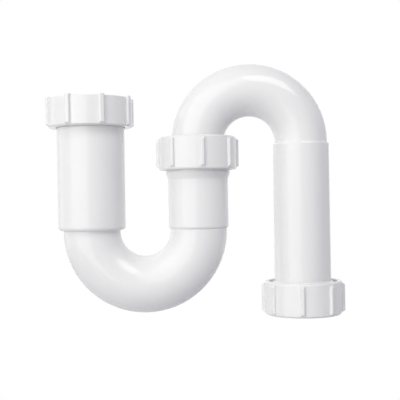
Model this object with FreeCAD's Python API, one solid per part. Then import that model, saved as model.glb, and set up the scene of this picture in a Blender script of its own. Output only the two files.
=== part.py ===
import FreeCAD, Part
import math
import os

os.makedirs("parts", exist_ok=True)

# Swivel S trap in white plastic. The origin is on the inlet axis, in the plane of the washer's top face.
# +Z is up, both bends lie in the XZ plane, and the outlet is towards +X. Sizes are in millimetres.

# The run of the waterway, from bend centre to bend centre
lower_bend_depth = 71.8
swivel_rise = 53.5
outlet_drop = 97.9
lower_bend_radius = 32.8
upper_bend_radius = 31.8

# The trap's moulding: inlet sleeve, lower bend and swivel socket. The flange's stand brings the union nut's
# thread to 47.80 mm across, a G 1 1/2 pipe thread.
wall = 2.4
sleeve_radius = 20.6
sleeve_step = 0.8
sleeve_round = 2.2
trap_tube_radius = 17.4
collar_wall = 2.2
collar_step = 2.0
flange_thickness = 2.4
flange_stand = 1.521

# The outlet's moulding: spigot, upper bend and a leg that widens a little towards its end
pipe_radius = 16.0
pipe_wall = 2.3
leg_stand = 1.05
leg_draft = 0.2
leg_step = 1.5

# The two sockets, each with an outside thread and a flared seat for the seal. The land at the mouth brings
# the thread to 41.91 mm across, a G 1 1/4 pipe thread.
socket_clearance = 0.2
seat_depth = 3.2
seat_flare = 2.0
mouth_land = 1.276
thread_depth = 1.479
mouth_chamfer = 0.5
swivel_mouth_drop = 4.4
swivel_thread_length = 13.7
runout_height = 2.0
runout_stand = 0.35
runout_draft = 0.7
runout_flare = 2.2
spigot_depth = 17.0
spigot_end_gap = 0.5
outlet_thread_length = 11.0
outlet_neck = 1.5
outlet_socket_depth = 9.6

# Seal and slip ring of a compression joint
seal_clearance = 0.1
seal_head = 2.6
seal_overlap = 0.4
seal_tip = 0.6
seat_clearance = 0.3
slip_ring_thickness = 1.5
slip_ring_clearance = 0.9
slip_ring_play = 0.45

# Compression nut
nut_thread_clearance = 0.2
nut_wall = 2.6
nut_lip = 3.8
nut_grip = 12.3
nut_hole_clearance = 1.1
nut_hole_chamfer = 3.0
nut_entry_chamfer = 0.4
nut_rim_round = 1.2
nut_end_chamfer = 1.0
nut_rib_width = 2.6
nut_rib_height = 1.7
nut_rib_ramp = 1.0
nut_rib_round = 0.8
nut_rib_from_rim = 1.3
nut_rib_from_end = 1.1
swivel_nut_turn = 7.0
outlet_nut_turn = -7.8

# Union nut and washer at the inlet
union_thread_depth = 1.479
union_reach = 10.1
union_wall = 1.8
union_lip = 2.8
union_lip_play = 0.3
union_hole_clearance = 0.6
union_entry_chamfer = 0.8
union_end_chamfer = 0.8
union_rib_width = 3.2
union_rib_height = 1.8
union_rib_ramp = 1.6
union_rib_rise = 0.7
union_rib_round = 0.9
union_nut_turn = 22.1
washer_thickness = 2.6
washer_play = 0.3

rib_count = 8
edge_chamfer = 0.4

# Places and sizes that follow from those above
lower_z = -lower_bend_depth
upper_z = lower_z + swivel_rise
swivel_x = 2 * lower_bend_radius
outlet_x = swivel_x + 2 * upper_bend_radius
swivel_mouth_z = upper_z - swivel_mouth_drop
outlet_mouth_z = upper_z - outlet_drop
flange_top_z = -washer_thickness
flange_bottom_z = flange_top_z - flange_thickness
leg_top_radius = pipe_radius + leg_stand
leg_end_radius = leg_top_radius + leg_draft
socket_radius = pipe_radius + socket_clearance
collar_radius = socket_radius + collar_wall
seat_radius = socket_radius + seat_flare
thread_root = seat_radius + mouth_land
thread_radius = thread_root + thread_depth
washer_radius = sleeve_radius + flange_stand
union_thread_root = washer_radius + washer_play
union_thread_radius = union_thread_root + union_thread_depth
nut_bore = thread_radius + nut_thread_clearance
nut_radius = nut_bore + nut_wall
nut_cap = seal_head + slip_ring_thickness + nut_lip


def profile_face(corners, place):
    """Flat face through corners (u, v), each sharp or followed by "round" or "chamfer" and a size."""
    joints = []
    for index, (u, v, *finish) in enumerate(corners):
        kind, size = finish or ("sharp", 0)
        corner = FreeCAD.Vector(u, v, 0)
        before = FreeCAD.Vector(*corners[index - 1][:2], 0)
        after = FreeCAD.Vector(*corners[(index + 1) % len(corners)][:2], 0)
        back = (before - corner).normalize()
        ahead = (after - corner).normalize()
        half = back.getAngle(ahead) / 2
        trim = size / math.tan(half) if kind == "round" else size
        points = [corner + back * trim, corner + ahead * trim]
        if kind == "round":
            points.insert(1, corner + (back + ahead).normalize() * (size / math.sin(half) - size))
        joints.append([place(point.x, point.y) for point in points])
    edges = []
    for index, joint in enumerate(joints):
        if len(joint) == 3:
            edges.append(Part.Arc(*joint).toShape())
        elif joint[0].distanceToPoint(joint[1]) > 1e-6:
            edges.append(Part.makeLine(*joint))
        following = joints[(index + 1) % len(joints)][0]
        if joint[-1].distanceToPoint(following) > 1e-6:
            edges.append(Part.makeLine(joint[-1], following))
    return Part.Face(Part.Wire(edges))


def turned(corners, axis_x=0):
    """Solid turned about a vertical axis from the corners of its profile (radius, height)."""
    face = profile_face(corners, lambda r, z: FreeCAD.Vector(axis_x + r, 0, z))
    return face.revolve(FreeCAD.Vector(axis_x, 0, 0), FreeCAD.Vector(0, 0, 1), 360)


def half_ring(start_x, z, bend_radius, tube_radius, angle):
    """Half turn of round bar from start_x to the leg beside it, up or down by the sign of the angle."""
    centre = FreeCAD.Vector(start_x, 0, z)
    disc = Part.Face(Part.Wire(Part.makeCircle(tube_radius, centre, FreeCAD.Vector(0, 0, 1))))
    return disc.revolve(FreeCAD.Vector(start_x + bend_radius, 0, z), FreeCAD.Vector(0, 1, 0), angle)


def bent_tube(start_x, z, bend_radius, outer, inner, angle):
    """Half turn of tube between two legs."""
    outside = half_ring(start_x, z, bend_radius, outer, angle)
    inside = half_ring(start_x, z, bend_radius, inner, angle)
    return outside.cut(inside)


def ribs(profile, width, corner_round):
    """Ring of equal ribs from the corners of one rib's profile (radius, height)."""
    inner = min(corner[0] for corner in profile)
    outer = max(corner[0] for corner in profile)
    low = min(corner[1] for corner in profile)
    high = max(corner[1] for corner in profile)
    side = width / 2
    outline = profile_face(profile, lambda r, z: FreeCAD.Vector(r, -side, z))
    blade = outline.extrude(FreeCAD.Vector(0, width, 0))
    section = [
        (inner, -side),
        (outer, -side, "round", corner_round),
        (outer, side, "round", corner_round),
        (inner, side),
    ]
    foot = profile_face(section, lambda r, y: FreeCAD.Vector(r, y, low))
    bar = foot.extrude(FreeCAD.Vector(0, 0, high - low))
    rib = blade.common(bar)
    turns = [360 / rib_count * n for n in range(rib_count)]
    return [rib.rotated(FreeCAD.Vector(), FreeCAD.Vector(0, 0, 1), turn) for turn in turns]


def faced(shape, turn):
    """Turn a nut so that one rib stands at this angle from the front, towards +X."""
    return shape.rotated(FreeCAD.Vector(), FreeCAD.Vector(0, 0, 1), turn - 90)


def seated(shape, axis_x, mouth_z, down):
    """Bring a piece made on an upward mouth to its joint, turned over where the mouth looks down."""
    if down:
        shape = shape.rotated(FreeCAD.Vector(), FreeCAD.Vector(0, 1, 0), 180)
    return shape.translated(FreeCAD.Vector(axis_x, 0, mouth_z))


def inlet_leg():
    """Flange and sleeve, with a rounded shoulder down to the bend."""
    shoulder = lower_z + sleeve_step
    sleeve_bore = sleeve_radius - wall
    tube_bore = trap_tube_radius - wall
    return turned([
        (sleeve_bore, flange_top_z, "chamfer", edge_chamfer),
        (washer_radius, flange_top_z, "chamfer", edge_chamfer),
        (washer_radius, flange_bottom_z, "chamfer", edge_chamfer),
        (sleeve_radius, flange_bottom_z, "chamfer", edge_chamfer),
        (sleeve_radius, shoulder, "round", sleeve_round),
        (trap_tube_radius, shoulder),
        (trap_tube_radius, lower_z),
        (tube_bore, lower_z),
        (tube_bore, shoulder + wall, "chamfer", edge_chamfer),
        (sleeve_bore, shoulder + wall, "chamfer", edge_chamfer),
    ])


def swivel_leg():
    """Collar, thread run-out and threaded socket, with the seal's seat in its mouth and a stop inside."""
    thread_end = swivel_mouth_z - swivel_thread_length
    runout_end = thread_end - runout_height
    runout_radius = thread_root + runout_stand
    flare_end = runout_end - runout_flare
    stop = swivel_mouth_z - spigot_depth - spigot_end_gap
    stop_radius = collar_radius - wall - edge_chamfer
    return turned([
        (trap_tube_radius, lower_z),
        (trap_tube_radius, lower_z + collar_step / 2),
        (collar_radius, lower_z + collar_step, "chamfer", edge_chamfer),
        (collar_radius, flare_end),
        (runout_radius - runout_draft, runout_end, "chamfer", edge_chamfer),
        (runout_radius, thread_end),
        (thread_root, thread_end),
        (thread_root, swivel_mouth_z, "chamfer", mouth_chamfer),
        (seat_radius, swivel_mouth_z),
        (socket_radius, swivel_mouth_z - seat_depth),
        (socket_radius, stop),
        (stop_radius, stop),
        (trap_tube_radius - wall, lower_z),
    ], swivel_x)


def outlet_leg():
    """Leg with a moulded step at the bend, and a threaded socket at its lower end."""
    thread_end = outlet_mouth_z + outlet_thread_length
    neck = thread_end + outlet_neck
    stop = outlet_mouth_z + outlet_socket_depth
    return turned([
        (pipe_radius, upper_z),
        (pipe_radius, upper_z - leg_step / 2),
        (leg_top_radius, upper_z - leg_step, "chamfer", edge_chamfer),
        (leg_end_radius, neck),
        (thread_root, thread_end),
        (thread_root, outlet_mouth_z, "chamfer", mouth_chamfer),
        (seat_radius, outlet_mouth_z),
        (socket_radius, outlet_mouth_z + seat_depth),
        (socket_radius, stop),
        (leg_end_radius - wall, stop),
        (pipe_radius - pipe_wall, upper_z),
    ], outlet_x)


def spigot():
    """Plain end of the upper bend, let into the swivel socket."""
    end = swivel_mouth_z - spigot_depth
    return turned([
        (pipe_radius, upper_z),
        (pipe_radius - pipe_wall, upper_z),
        (pipe_radius - pipe_wall, end, "chamfer", edge_chamfer),
        (pipe_radius, end, "chamfer", edge_chamfer),
    ], swivel_x)


def seal():
    """Rubber seal on a mouth at height 0: a flat head, and a nose that tapers with the seat below it."""
    bore = pipe_radius + seal_clearance
    shoulder = seat_radius - seat_clearance
    tip = bore + seal_tip
    nose = (shoulder - tip) * seat_depth / seat_flare
    return turned([
        (bore, seal_head),
        (seat_radius + seal_overlap, seal_head, "chamfer", edge_chamfer),
        (seat_radius + seal_overlap, 0),
        (shoulder, 0),
        (tip, -nose),
        (bore, -nose),
    ])


def slip_ring():
    """Thin plastic ring between the seal and the nut's lip, so that the seal isn't twisted."""
    bore = pipe_radius + slip_ring_clearance
    rim = thread_root - slip_ring_play
    top = seal_head + slip_ring_thickness
    return turned([(bore, seal_head), (rim, seal_head), (rim, top), (bore, top)])


def compression_nut(turn):
    """Round ribbed nut, threaded end down over a mouth at height 0."""
    rim = -nut_grip
    lip = nut_cap - nut_lip
    hole = pipe_radius + nut_hole_clearance
    body = turned([
        (nut_bore + nut_entry_chamfer, rim),
        (nut_radius, rim, "round", nut_rim_round),
        (nut_radius, nut_cap, "chamfer", nut_end_chamfer),
        (hole + nut_hole_chamfer, nut_cap),
        (hole, nut_cap - nut_hole_chamfer),
        (hole, lip),
        (nut_bore, lip),
        (nut_bore, rim + nut_entry_chamfer),
    ])
    low = rim + nut_rib_from_rim
    high = nut_cap - nut_rib_from_end
    root = nut_bore + nut_wall / 2
    crest = nut_radius + nut_rib_height
    bars = ribs([
        (root, low),
        (nut_radius, low),
        (crest, low + nut_rib_ramp, "round", nut_rib_round),
        (crest, high - nut_rib_ramp, "round", nut_rib_round),
        (nut_radius, high),
        (root, high),
    ], nut_rib_width, nut_rib_round)
    return faced(body.multiFuse(bars), turn)


def union_nut():
    """Round ribbed nut, its lip under the sleeve's flange and its thread above."""
    lip_top = flange_bottom_z - union_lip_play
    bottom = lip_top - union_lip
    rim = union_reach - union_rib_rise
    hole = sleeve_radius + union_hole_clearance
    radius = union_thread_radius + union_wall
    body = turned([
        (hole, bottom),
        (radius, bottom, "chamfer", union_end_chamfer),
        (radius, rim, "chamfer", edge_chamfer),
        (union_thread_radius + union_entry_chamfer, rim),
        (union_thread_radius, rim - union_entry_chamfer),
        (union_thread_radius, 0),
        (union_thread_root, 0),
        (union_thread_root, lip_top),
        (hole, lip_top),
    ])
    root = union_thread_radius + union_wall / 2
    crest = radius + union_rib_height
    bars = ribs([
        (root, bottom),
        (crest, bottom + union_rib_ramp),
        (crest, union_reach, "chamfer", edge_chamfer),
        (root, union_reach),
    ], union_rib_width, union_rib_round)
    return faced(body.multiFuse(bars), union_nut_turn)


def inlet_washer():
    """Flat rubber washer on the flange."""
    bore = sleeve_radius - wall
    return turned([
        (bore, flange_top_z, "chamfer", edge_chamfer),
        (washer_radius, flange_top_z, "chamfer", edge_chamfer),
        (washer_radius, 0, "chamfer", edge_chamfer),
        (bore, 0, "chamfer", edge_chamfer),
    ])


lower_bend = bent_tube(0, lower_z, lower_bend_radius, trap_tube_radius, trap_tube_radius - wall, -180)
upper_bend = bent_tube(swivel_x, upper_z, upper_bend_radius, pipe_radius, pipe_radius - pipe_wall, 180)

pieces = {
    "trap_bend": inlet_leg().multiFuse([lower_bend, swivel_leg()]).removeSplitter(),
    "inlet_nut": union_nut(),
    "inlet_washer": inlet_washer(),
    "swivel_nut": seated(compression_nut(swivel_nut_turn), swivel_x, swivel_mouth_z, False),
    "swivel_slip_ring": seated(slip_ring(), swivel_x, swivel_mouth_z, False),
    "swivel_seal": seated(seal(), swivel_x, swivel_mouth_z, False),
    "outlet_bend": spigot().multiFuse([upper_bend, outlet_leg()]).removeSplitter(),
    "outlet_nut": seated(compression_nut(-outlet_nut_turn), outlet_x, outlet_mouth_z, True),
    "outlet_slip_ring": seated(slip_ring(), outlet_x, outlet_mouth_z, True),
    "outlet_seal": seated(seal(), outlet_x, outlet_mouth_z, True),
}

for name, shape in pieces.items():
    shape.exportStep(f"parts/{name}.step")
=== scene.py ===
import math

import bmesh
import bpy
from mathutils import Matrix, Vector


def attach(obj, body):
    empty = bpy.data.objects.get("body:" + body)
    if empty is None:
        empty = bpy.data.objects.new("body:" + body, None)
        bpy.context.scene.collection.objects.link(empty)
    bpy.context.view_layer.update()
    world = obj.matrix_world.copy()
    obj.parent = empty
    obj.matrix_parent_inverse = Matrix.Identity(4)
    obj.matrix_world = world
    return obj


# The trap comes in as turned and bent solids, in metres, with its inlet axis on the origin.
# Each section below finishes one moulding or one joint, from the inlet to the outlet.
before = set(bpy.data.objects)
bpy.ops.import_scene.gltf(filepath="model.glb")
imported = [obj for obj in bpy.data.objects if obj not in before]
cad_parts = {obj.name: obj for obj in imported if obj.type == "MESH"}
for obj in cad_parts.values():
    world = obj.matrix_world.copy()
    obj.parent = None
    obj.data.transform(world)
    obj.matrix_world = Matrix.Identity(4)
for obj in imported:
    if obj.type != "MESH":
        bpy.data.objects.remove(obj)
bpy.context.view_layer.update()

# Trap bend: inlet sleeve, U-bend and swivel socket in one piece of white polypropylene.
# It is injection moulded in two halves that part along the plane of the bend, so the gloss skin
# has a faint ripple, and a fine raised line where the halves of the mould met.


def white_plastic(name, parting_line):
    """Gloss white moulding: two close whites, a skin that varies in gloss, and a fine ripple."""
    material = bpy.data.materials.new(name)
    material.use_nodes = True
    nodes = material.node_tree.nodes
    links = material.node_tree.links
    shader = nodes["Principled BSDF"]
    shader.inputs["IOR"].default_value = 1.49
    coords = nodes.new("ShaderNodeTexCoord")

    cloud = nodes.new("ShaderNodeTexNoise")
    cloud.inputs["Scale"].default_value = 38
    cloud.inputs["Detail"].default_value = 3
    links.new(coords.outputs["Object"], cloud.inputs["Vector"])
    tint = nodes.new("ShaderNodeValToRGB")
    tint.color_ramp.elements[0].color = (0.836, 0.837, 0.842, 1)
    tint.color_ramp.elements[1].color = (0.870, 0.869, 0.867, 1)
    links.new(cloud.outputs["Fac"], tint.inputs["Fac"])
    links.new(tint.outputs["Color"], shader.inputs["Base Color"])

    skin = nodes.new("ShaderNodeTexNoise")
    skin.inputs["Scale"].default_value = 70
    skin.inputs["Detail"].default_value = 2
    links.new(coords.outputs["Object"], skin.inputs["Vector"])
    gloss = nodes.new("ShaderNodeMapRange")
    gloss.inputs["To Min"].default_value = 0.10
    gloss.inputs["To Max"].default_value = 0.16
    links.new(skin.outputs["Fac"], gloss.inputs["Value"])
    links.new(gloss.outputs["Result"], shader.inputs["Roughness"])

    peel = nodes.new("ShaderNodeTexNoise")
    peel.inputs["Scale"].default_value = 1300
    peel.inputs["Detail"].default_value = 2
    links.new(coords.outputs["Object"], peel.inputs["Vector"])
    ripple = nodes.new("ShaderNodeBump")
    ripple.inputs["Strength"].default_value = 0.12
    ripple.inputs["Distance"].default_value = 0.00002
    links.new(peel.outputs["Fac"], ripple.inputs["Height"])
    surface = ripple
    if parting_line:
        place = nodes.new("ShaderNodeSeparateXYZ")
        links.new(coords.outputs["Object"], place.inputs["Vector"])
        aside = nodes.new("ShaderNodeMath")
        aside.operation = "ABSOLUTE"
        links.new(place.outputs["Y"], aside.inputs[0])
        line = nodes.new("ShaderNodeMapRange")
        line.interpolation_type = "SMOOTHSTEP"
        line.inputs["From Min"].default_value = 0.00005
        line.inputs["From Max"].default_value = 0.00030
        line.inputs["To Min"].default_value = 1
        line.inputs["To Max"].default_value = 0
        links.new(aside.outputs["Value"], line.inputs["Value"])
        flash = nodes.new("ShaderNodeBump")
        flash.inputs["Strength"].default_value = 0.6
        flash.inputs["Distance"].default_value = 0.00012
        links.new(line.outputs["Result"], flash.inputs["Height"])
        links.new(ripple.outputs["Normal"], flash.inputs["Normal"])
        surface = flash
    links.new(surface.outputs["Normal"], shader.inputs["Normal"])
    return material


thread_pitch = 0.002309


def thread_ridge(name, axis_x, low_z, turns, root, crest):
    """One right-hand ridge of a pipe thread, wound up from low_z and faded out at both ends."""
    half_root = 0.42 * thread_pitch
    half_crest = 0.07 * thread_pitch
    sunk_depth = 0.0003
    steps_per_turn = 60
    fade_steps = 20
    least_height_share = 0.1
    steps = round(turns * steps_per_turn)
    foot = root + math.copysign(sunk_depth, root - crest)
    section = [(foot, -half_root), (root, -half_root), (crest, -half_crest),
               (crest, half_crest), (root, half_root), (foot, half_root)]
    shape = bmesh.new()
    corners = [shape.verts.new((axis_x + radius, 0, low_z + rise)) for radius, rise in section]
    sides = [shape.edges.new((corner, corners[i - 1])) for i, corner in enumerate(corners)]
    bmesh.ops.spin(shape, geom=corners + sides, cent=(axis_x, 0, 0), axis=(0, 0, 1), steps=steps,
                   dvec=(0, 0, thread_pitch / steps_per_turn), angle=2 * math.pi * steps / steps_per_turn)
    shape.verts.index_update()
    for vert in shape.verts:
        step = vert.index // len(section)
        height_share = max(least_height_share, min(1, step / fade_steps, (steps - step) / fade_steps))
        radius = math.hypot(vert.co.x - axis_x, vert.co.y)
        pull = (foot + (radius - foot) * height_share) / radius
        vert.co.x = axis_x + (vert.co.x - axis_x) * pull
        vert.co.y = vert.co.y * pull
    bmesh.ops.holes_fill(shape, edges=[edge for edge in shape.edges if edge.is_boundary])
    bmesh.ops.recalc_face_normals(shape, faces=shape.faces)
    mesh = bpy.data.meshes.new(name)
    shape.to_mesh(mesh)
    shape.free()
    mesh.shade_smooth()
    mesh.set_sharp_from_angle(angle=math.radians(50))
    ridge = bpy.data.objects.new(name, mesh)
    bpy.context.collection.objects.link(ridge)
    return ridge


moulding_white = white_plastic("moulding_white", parting_line=True)
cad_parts["trap_bend"].material_slots[0].material = moulding_white

swivel_x = 0.0656
swivel_thread_z = -0.03525
socket_root = 0.019476
socket_crest = 0.020955
swivel_thread = thread_ridge("swivel_thread", swivel_x, low_z=swivel_thread_z, turns=5.0,
                             root=socket_root, crest=socket_crest)
swivel_thread.data.materials.append(moulding_white)
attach(swivel_thread, "trap")

# Inlet washer: a flat black rubber ring on the sleeve's flange, squeezed by the union nut.
# It is cut from sheet, with a dull bloom on the skin.


def black_rubber(name, grain):
    """Dull black rubber with a dusty bloom and a fine grain."""
    material = bpy.data.materials.new(name)
    material.use_nodes = True
    nodes = material.node_tree.nodes
    links = material.node_tree.links
    shader = nodes["Principled BSDF"]
    shader.inputs["Specular IOR Level"].default_value = 0.35
    coords = nodes.new("ShaderNodeTexCoord")
    bloom = nodes.new("ShaderNodeTexNoise")
    bloom.inputs["Scale"].default_value = 140
    bloom.inputs["Detail"].default_value = 6
    links.new(coords.outputs["Object"], bloom.inputs["Vector"])
    tint = nodes.new("ShaderNodeValToRGB")
    tint.color_ramp.elements[0].position = 0.35
    tint.color_ramp.elements[0].color = (0.016, 0.016, 0.017, 1)
    tint.color_ramp.elements[1].position = 0.75
    tint.color_ramp.elements[1].color = (0.048, 0.047, 0.046, 1)
    links.new(bloom.outputs["Fac"], tint.inputs["Fac"])
    links.new(tint.outputs["Color"], shader.inputs["Base Color"])
    dull = nodes.new("ShaderNodeMapRange")
    dull.inputs["To Min"].default_value = 0.52
    dull.inputs["To Max"].default_value = 0.78
    links.new(bloom.outputs["Fac"], dull.inputs["Value"])
    links.new(dull.outputs["Result"], shader.inputs["Roughness"])
    sand = nodes.new("ShaderNodeTexNoise")
    sand.inputs["Scale"].default_value = grain
    sand.inputs["Detail"].default_value = 3
    links.new(coords.outputs["Object"], sand.inputs["Vector"])
    bump = nodes.new("ShaderNodeBump")
    bump.inputs["Strength"].default_value = 0.4
    bump.inputs["Distance"].default_value = 0.0001
    links.new(sand.outputs["Fac"], bump.inputs["Height"])
    links.new(bump.outputs["Normal"], shader.inputs["Normal"])
    return material


washer_rubber = black_rubber("washer_rubber", grain=1500)
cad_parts["inlet_washer"].material_slots[0].material = washer_rubber

# Inlet nut: a round union nut with eight ribs, moulded in the same white plastic.
# It hangs on the sleeve's flange, and its thread draws the washer up to the waste outlet above.
nut_white = white_plastic("nut_white", parting_line=False)
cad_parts["inlet_nut"].material_slots[0].material = nut_white

inlet_x = 0
inlet_thread = thread_ridge("inlet_thread", inlet_x, low_z=0.0012, turns=2.6, root=0.0239, crest=0.02245)
inlet_thread.data.materials.append(nut_white)
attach(inlet_thread, "inlet_union")

# Swivel joint: a tapered rubber seal and a thin natural polypropylene slip ring under a round ribbed nut.
# The nut's thread runs between the turns of the socket's own.


def slip_plastic(name):
    """Natural, slightly waxy plastic with cloudy flow marks."""
    material = bpy.data.materials.new(name)
    material.use_nodes = True
    nodes = material.node_tree.nodes
    links = material.node_tree.links
    shader = nodes["Principled BSDF"]
    coords = nodes.new("ShaderNodeTexCoord")
    flow = nodes.new("ShaderNodeTexNoise")
    flow.inputs["Scale"].default_value = 90
    flow.inputs["Detail"].default_value = 4
    links.new(coords.outputs["Object"], flow.inputs["Vector"])
    tint = nodes.new("ShaderNodeValToRGB")
    tint.color_ramp.elements[0].position = 0.3
    tint.color_ramp.elements[0].color = (0.66, 0.67, 0.65, 1)
    tint.color_ramp.elements[1].position = 0.7
    tint.color_ramp.elements[1].color = (0.74, 0.74, 0.72, 1)
    links.new(flow.outputs["Fac"], tint.inputs["Fac"])
    links.new(tint.outputs["Color"], shader.inputs["Base Color"])
    wax = nodes.new("ShaderNodeMapRange")
    wax.inputs["To Min"].default_value = 0.42
    wax.inputs["To Max"].default_value = 0.58
    links.new(flow.outputs["Fac"], wax.inputs["Value"])
    links.new(wax.outputs["Result"], shader.inputs["Roughness"])
    return material


seal_rubber = black_rubber("seal_rubber", grain=2200)
slip_white = slip_plastic("slip_white")
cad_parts["swivel_seal"].material_slots[0].material = seal_rubber
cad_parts["swivel_slip_ring"].material_slots[0].material = slip_white
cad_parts["swivel_nut"].material_slots[0].material = nut_white

nut_root = 0.021155
nut_crest = 0.0197
swivel_nut_thread = thread_ridge("swivel_nut_thread", swivel_x, low_z=swivel_thread_z + 1.5 * thread_pitch,
                                 turns=3.6, root=nut_root, crest=nut_crest)
swivel_nut_thread.data.materials.append(nut_white)
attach(swivel_nut_thread, "swivel_nut")

# Outlet bend: spigot, upper bend and long leg, the second white moulding, which swivels in the first.
# Its lower end is threaded outside for the outlet nut.
outlet_x = 0.1292
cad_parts["outlet_bend"].material_slots[0].material = moulding_white

outlet_thread_z = -0.11505
outlet_thread = thread_ridge("outlet_thread", outlet_x, low_z=outlet_thread_z, turns=3.7,
                             root=socket_root, crest=socket_crest)
outlet_thread.data.materials.append(moulding_white)
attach(outlet_thread, "outlet")

# Outlet joint: the same seal, slip ring and ribbed nut as at the swivel, turned over.
# The nut closes up towards the leg and grips the waste pipe that goes in from below.
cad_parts["outlet_seal"].material_slots[0].material = seal_rubber
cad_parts["outlet_slip_ring"].material_slots[0].material = slip_white
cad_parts["outlet_nut"].material_slots[0].material = nut_white

outlet_nut_thread = thread_ridge("outlet_nut_thread", outlet_x, low_z=outlet_thread_z - 0.5 * thread_pitch,
                                 turns=4.8, root=nut_root, crest=nut_crest)
outlet_nut_thread.data.materials.append(nut_white)
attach(outlet_nut_thread, "outlet_nut")

# Floor: a plain pale sheet well below the trap, which hangs from the waste outlet in use.
# It stays out of the main view, takes the trap's shadow in the others, and looks paler than it is lit.


def looked_at(tree):
    """Value that is 1 for a ray from the camera, straight or by way of a mirror or glass, and else 0."""
    rays = tree.nodes.new("ShaderNodeLightPath")
    value = rays.outputs["Is Camera Ray"]
    for kind in ("Is Glossy Ray", "Is Transmission Ray"):
        either = tree.nodes.new("ShaderNodeMath")
        either.operation = "MAXIMUM"
        tree.links.new(value, either.inputs[0])
        tree.links.new(rays.outputs[kind], either.inputs[1])
        value = either.outputs["Value"]
    return value


floor_z = -0.45
floor_reach = 1.0
paper_glow = 0.3
floor_mesh = bpy.data.meshes.new("floor")
floor_shape = bmesh.new()
bmesh.ops.create_grid(floor_shape, x_segments=2, y_segments=2, size=floor_reach)
bmesh.ops.translate(floor_shape, verts=floor_shape.verts, vec=(swivel_x, 0, floor_z))
floor_shape.to_mesh(floor_mesh)
floor_shape.free()
floor = bpy.data.objects.new("floor", floor_mesh)
bpy.context.collection.objects.link(floor)
floor_paper = bpy.data.materials.new("floor_paper")
floor_paper.use_nodes = True
paper_tree = floor_paper.node_tree
paper = paper_tree.nodes["Principled BSDF"]
paper.inputs["Base Color"].default_value = (0.66, 0.66, 0.67, 1)
paper.inputs["Roughness"].default_value = 0.85
paper.inputs["Emission Color"].default_value = (1, 1, 1, 1)
glow = paper_tree.nodes.new("ShaderNodeMath")
glow.operation = "MULTIPLY"
glow.inputs[1].default_value = paper_glow
paper_tree.links.new(looked_at(paper_tree), glow.inputs[0])
paper_tree.links.new(glow.outputs["Value"], paper.inputs["Emission Strength"])
floor.data.materials.append(floor_paper)

# Light: a large softbox and a small key on the left, one above, two behind, and a rim lamp at each side.
# The plain surround is white where it is looked at or reflected, and a soft cool fill elsewhere.


def softbox(name, place, width, height, watts, mirrored=True):
    """Rectangular lamp at a place, facing the middle of the trap, that shows in reflections or not."""
    trap_middle = Vector((0.064, 0, -0.05))
    lamp = bpy.data.lights.new(name, "AREA")
    lamp.shape = "RECTANGLE"
    lamp.size = width
    lamp.size_y = height
    lamp.energy = watts
    lamp.color = (0.981, 0.99, 0.912)
    box = bpy.data.objects.new(name, lamp)
    bpy.context.collection.objects.link(box)
    towards = trap_middle - Vector(place)
    box.matrix_world = Matrix.Translation(place) @ towards.to_track_quat("-Z", "Y").to_matrix().to_4x4()
    box.visible_glossy = mirrored


softbox("left_softbox", place=(-0.488, -0.76, 0.292), width=1.2, height=1.4, watts=6.9)
softbox("left_key", place=(-0.542, -0.776, 0.124), width=0.25, height=0.25, watts=1.15, mirrored=False)
softbox("top_softbox", place=(0.385, -0.557, 0.716), width=0.66, height=0.42, watts=2.85)
softbox("back_softbox", place=(0.064, 0.707, 0.657), width=0.5, height=0.5, watts=0.8, mirrored=False)
softbox("back_key", place=(-0.344, 0.875, 0.209), width=0.8, height=0.8, watts=2.5, mirrored=False)
softbox("left_rim", place=(-0.843, 0.366, 0.158), width=0.4, height=0.9, watts=0.6)
softbox("right_rim", place=(0.994, 0.302, 0.158), width=0.4, height=0.9, watts=0.35)

world = bpy.data.worlds.new("surround")
bpy.context.scene.world = world
world.use_nodes = True
surround = world.node_tree
fill = surround.nodes["Background"]
fill.inputs["Color"].default_value = (0.842, 0.809, 1, 1)
fill.inputs["Strength"].default_value = 0.356
white = surround.nodes.new("ShaderNodeBackground")
white.inputs["Color"].default_value = (1, 1, 1, 1)
white.inputs["Strength"].default_value = 1
choice = surround.nodes.new("ShaderNodeMixShader")
surround.links.new(looked_at(surround), choice.inputs["Fac"])
surround.links.new(fill.outputs["Background"], choice.inputs[1])
surround.links.new(white.outputs["Background"], choice.inputs[2])
surround.links.new(choice.outputs["Shader"], surround.nodes["World Output"].inputs["Surface"])

# Camera: level with the middle of the trap and square to its plane, about half a metre in front.
# It leans a little to one side, as it does in the photograph.
camera_lean = math.radians(0.92)
lens = bpy.data.cameras.new("camera")
lens.sensor_width = 36
lens.lens = 72.42
camera = bpy.data.objects.new("camera", lens)
camera.location = (0.06664, -0.4954, -0.05343)
camera.rotation_euler = (math.radians(90), camera_lean, 0)
bpy.context.collection.objects.link(camera)
bpy.context.scene.camera = camera
bpy.context.scene.view_settings.view_transform = "Standard"
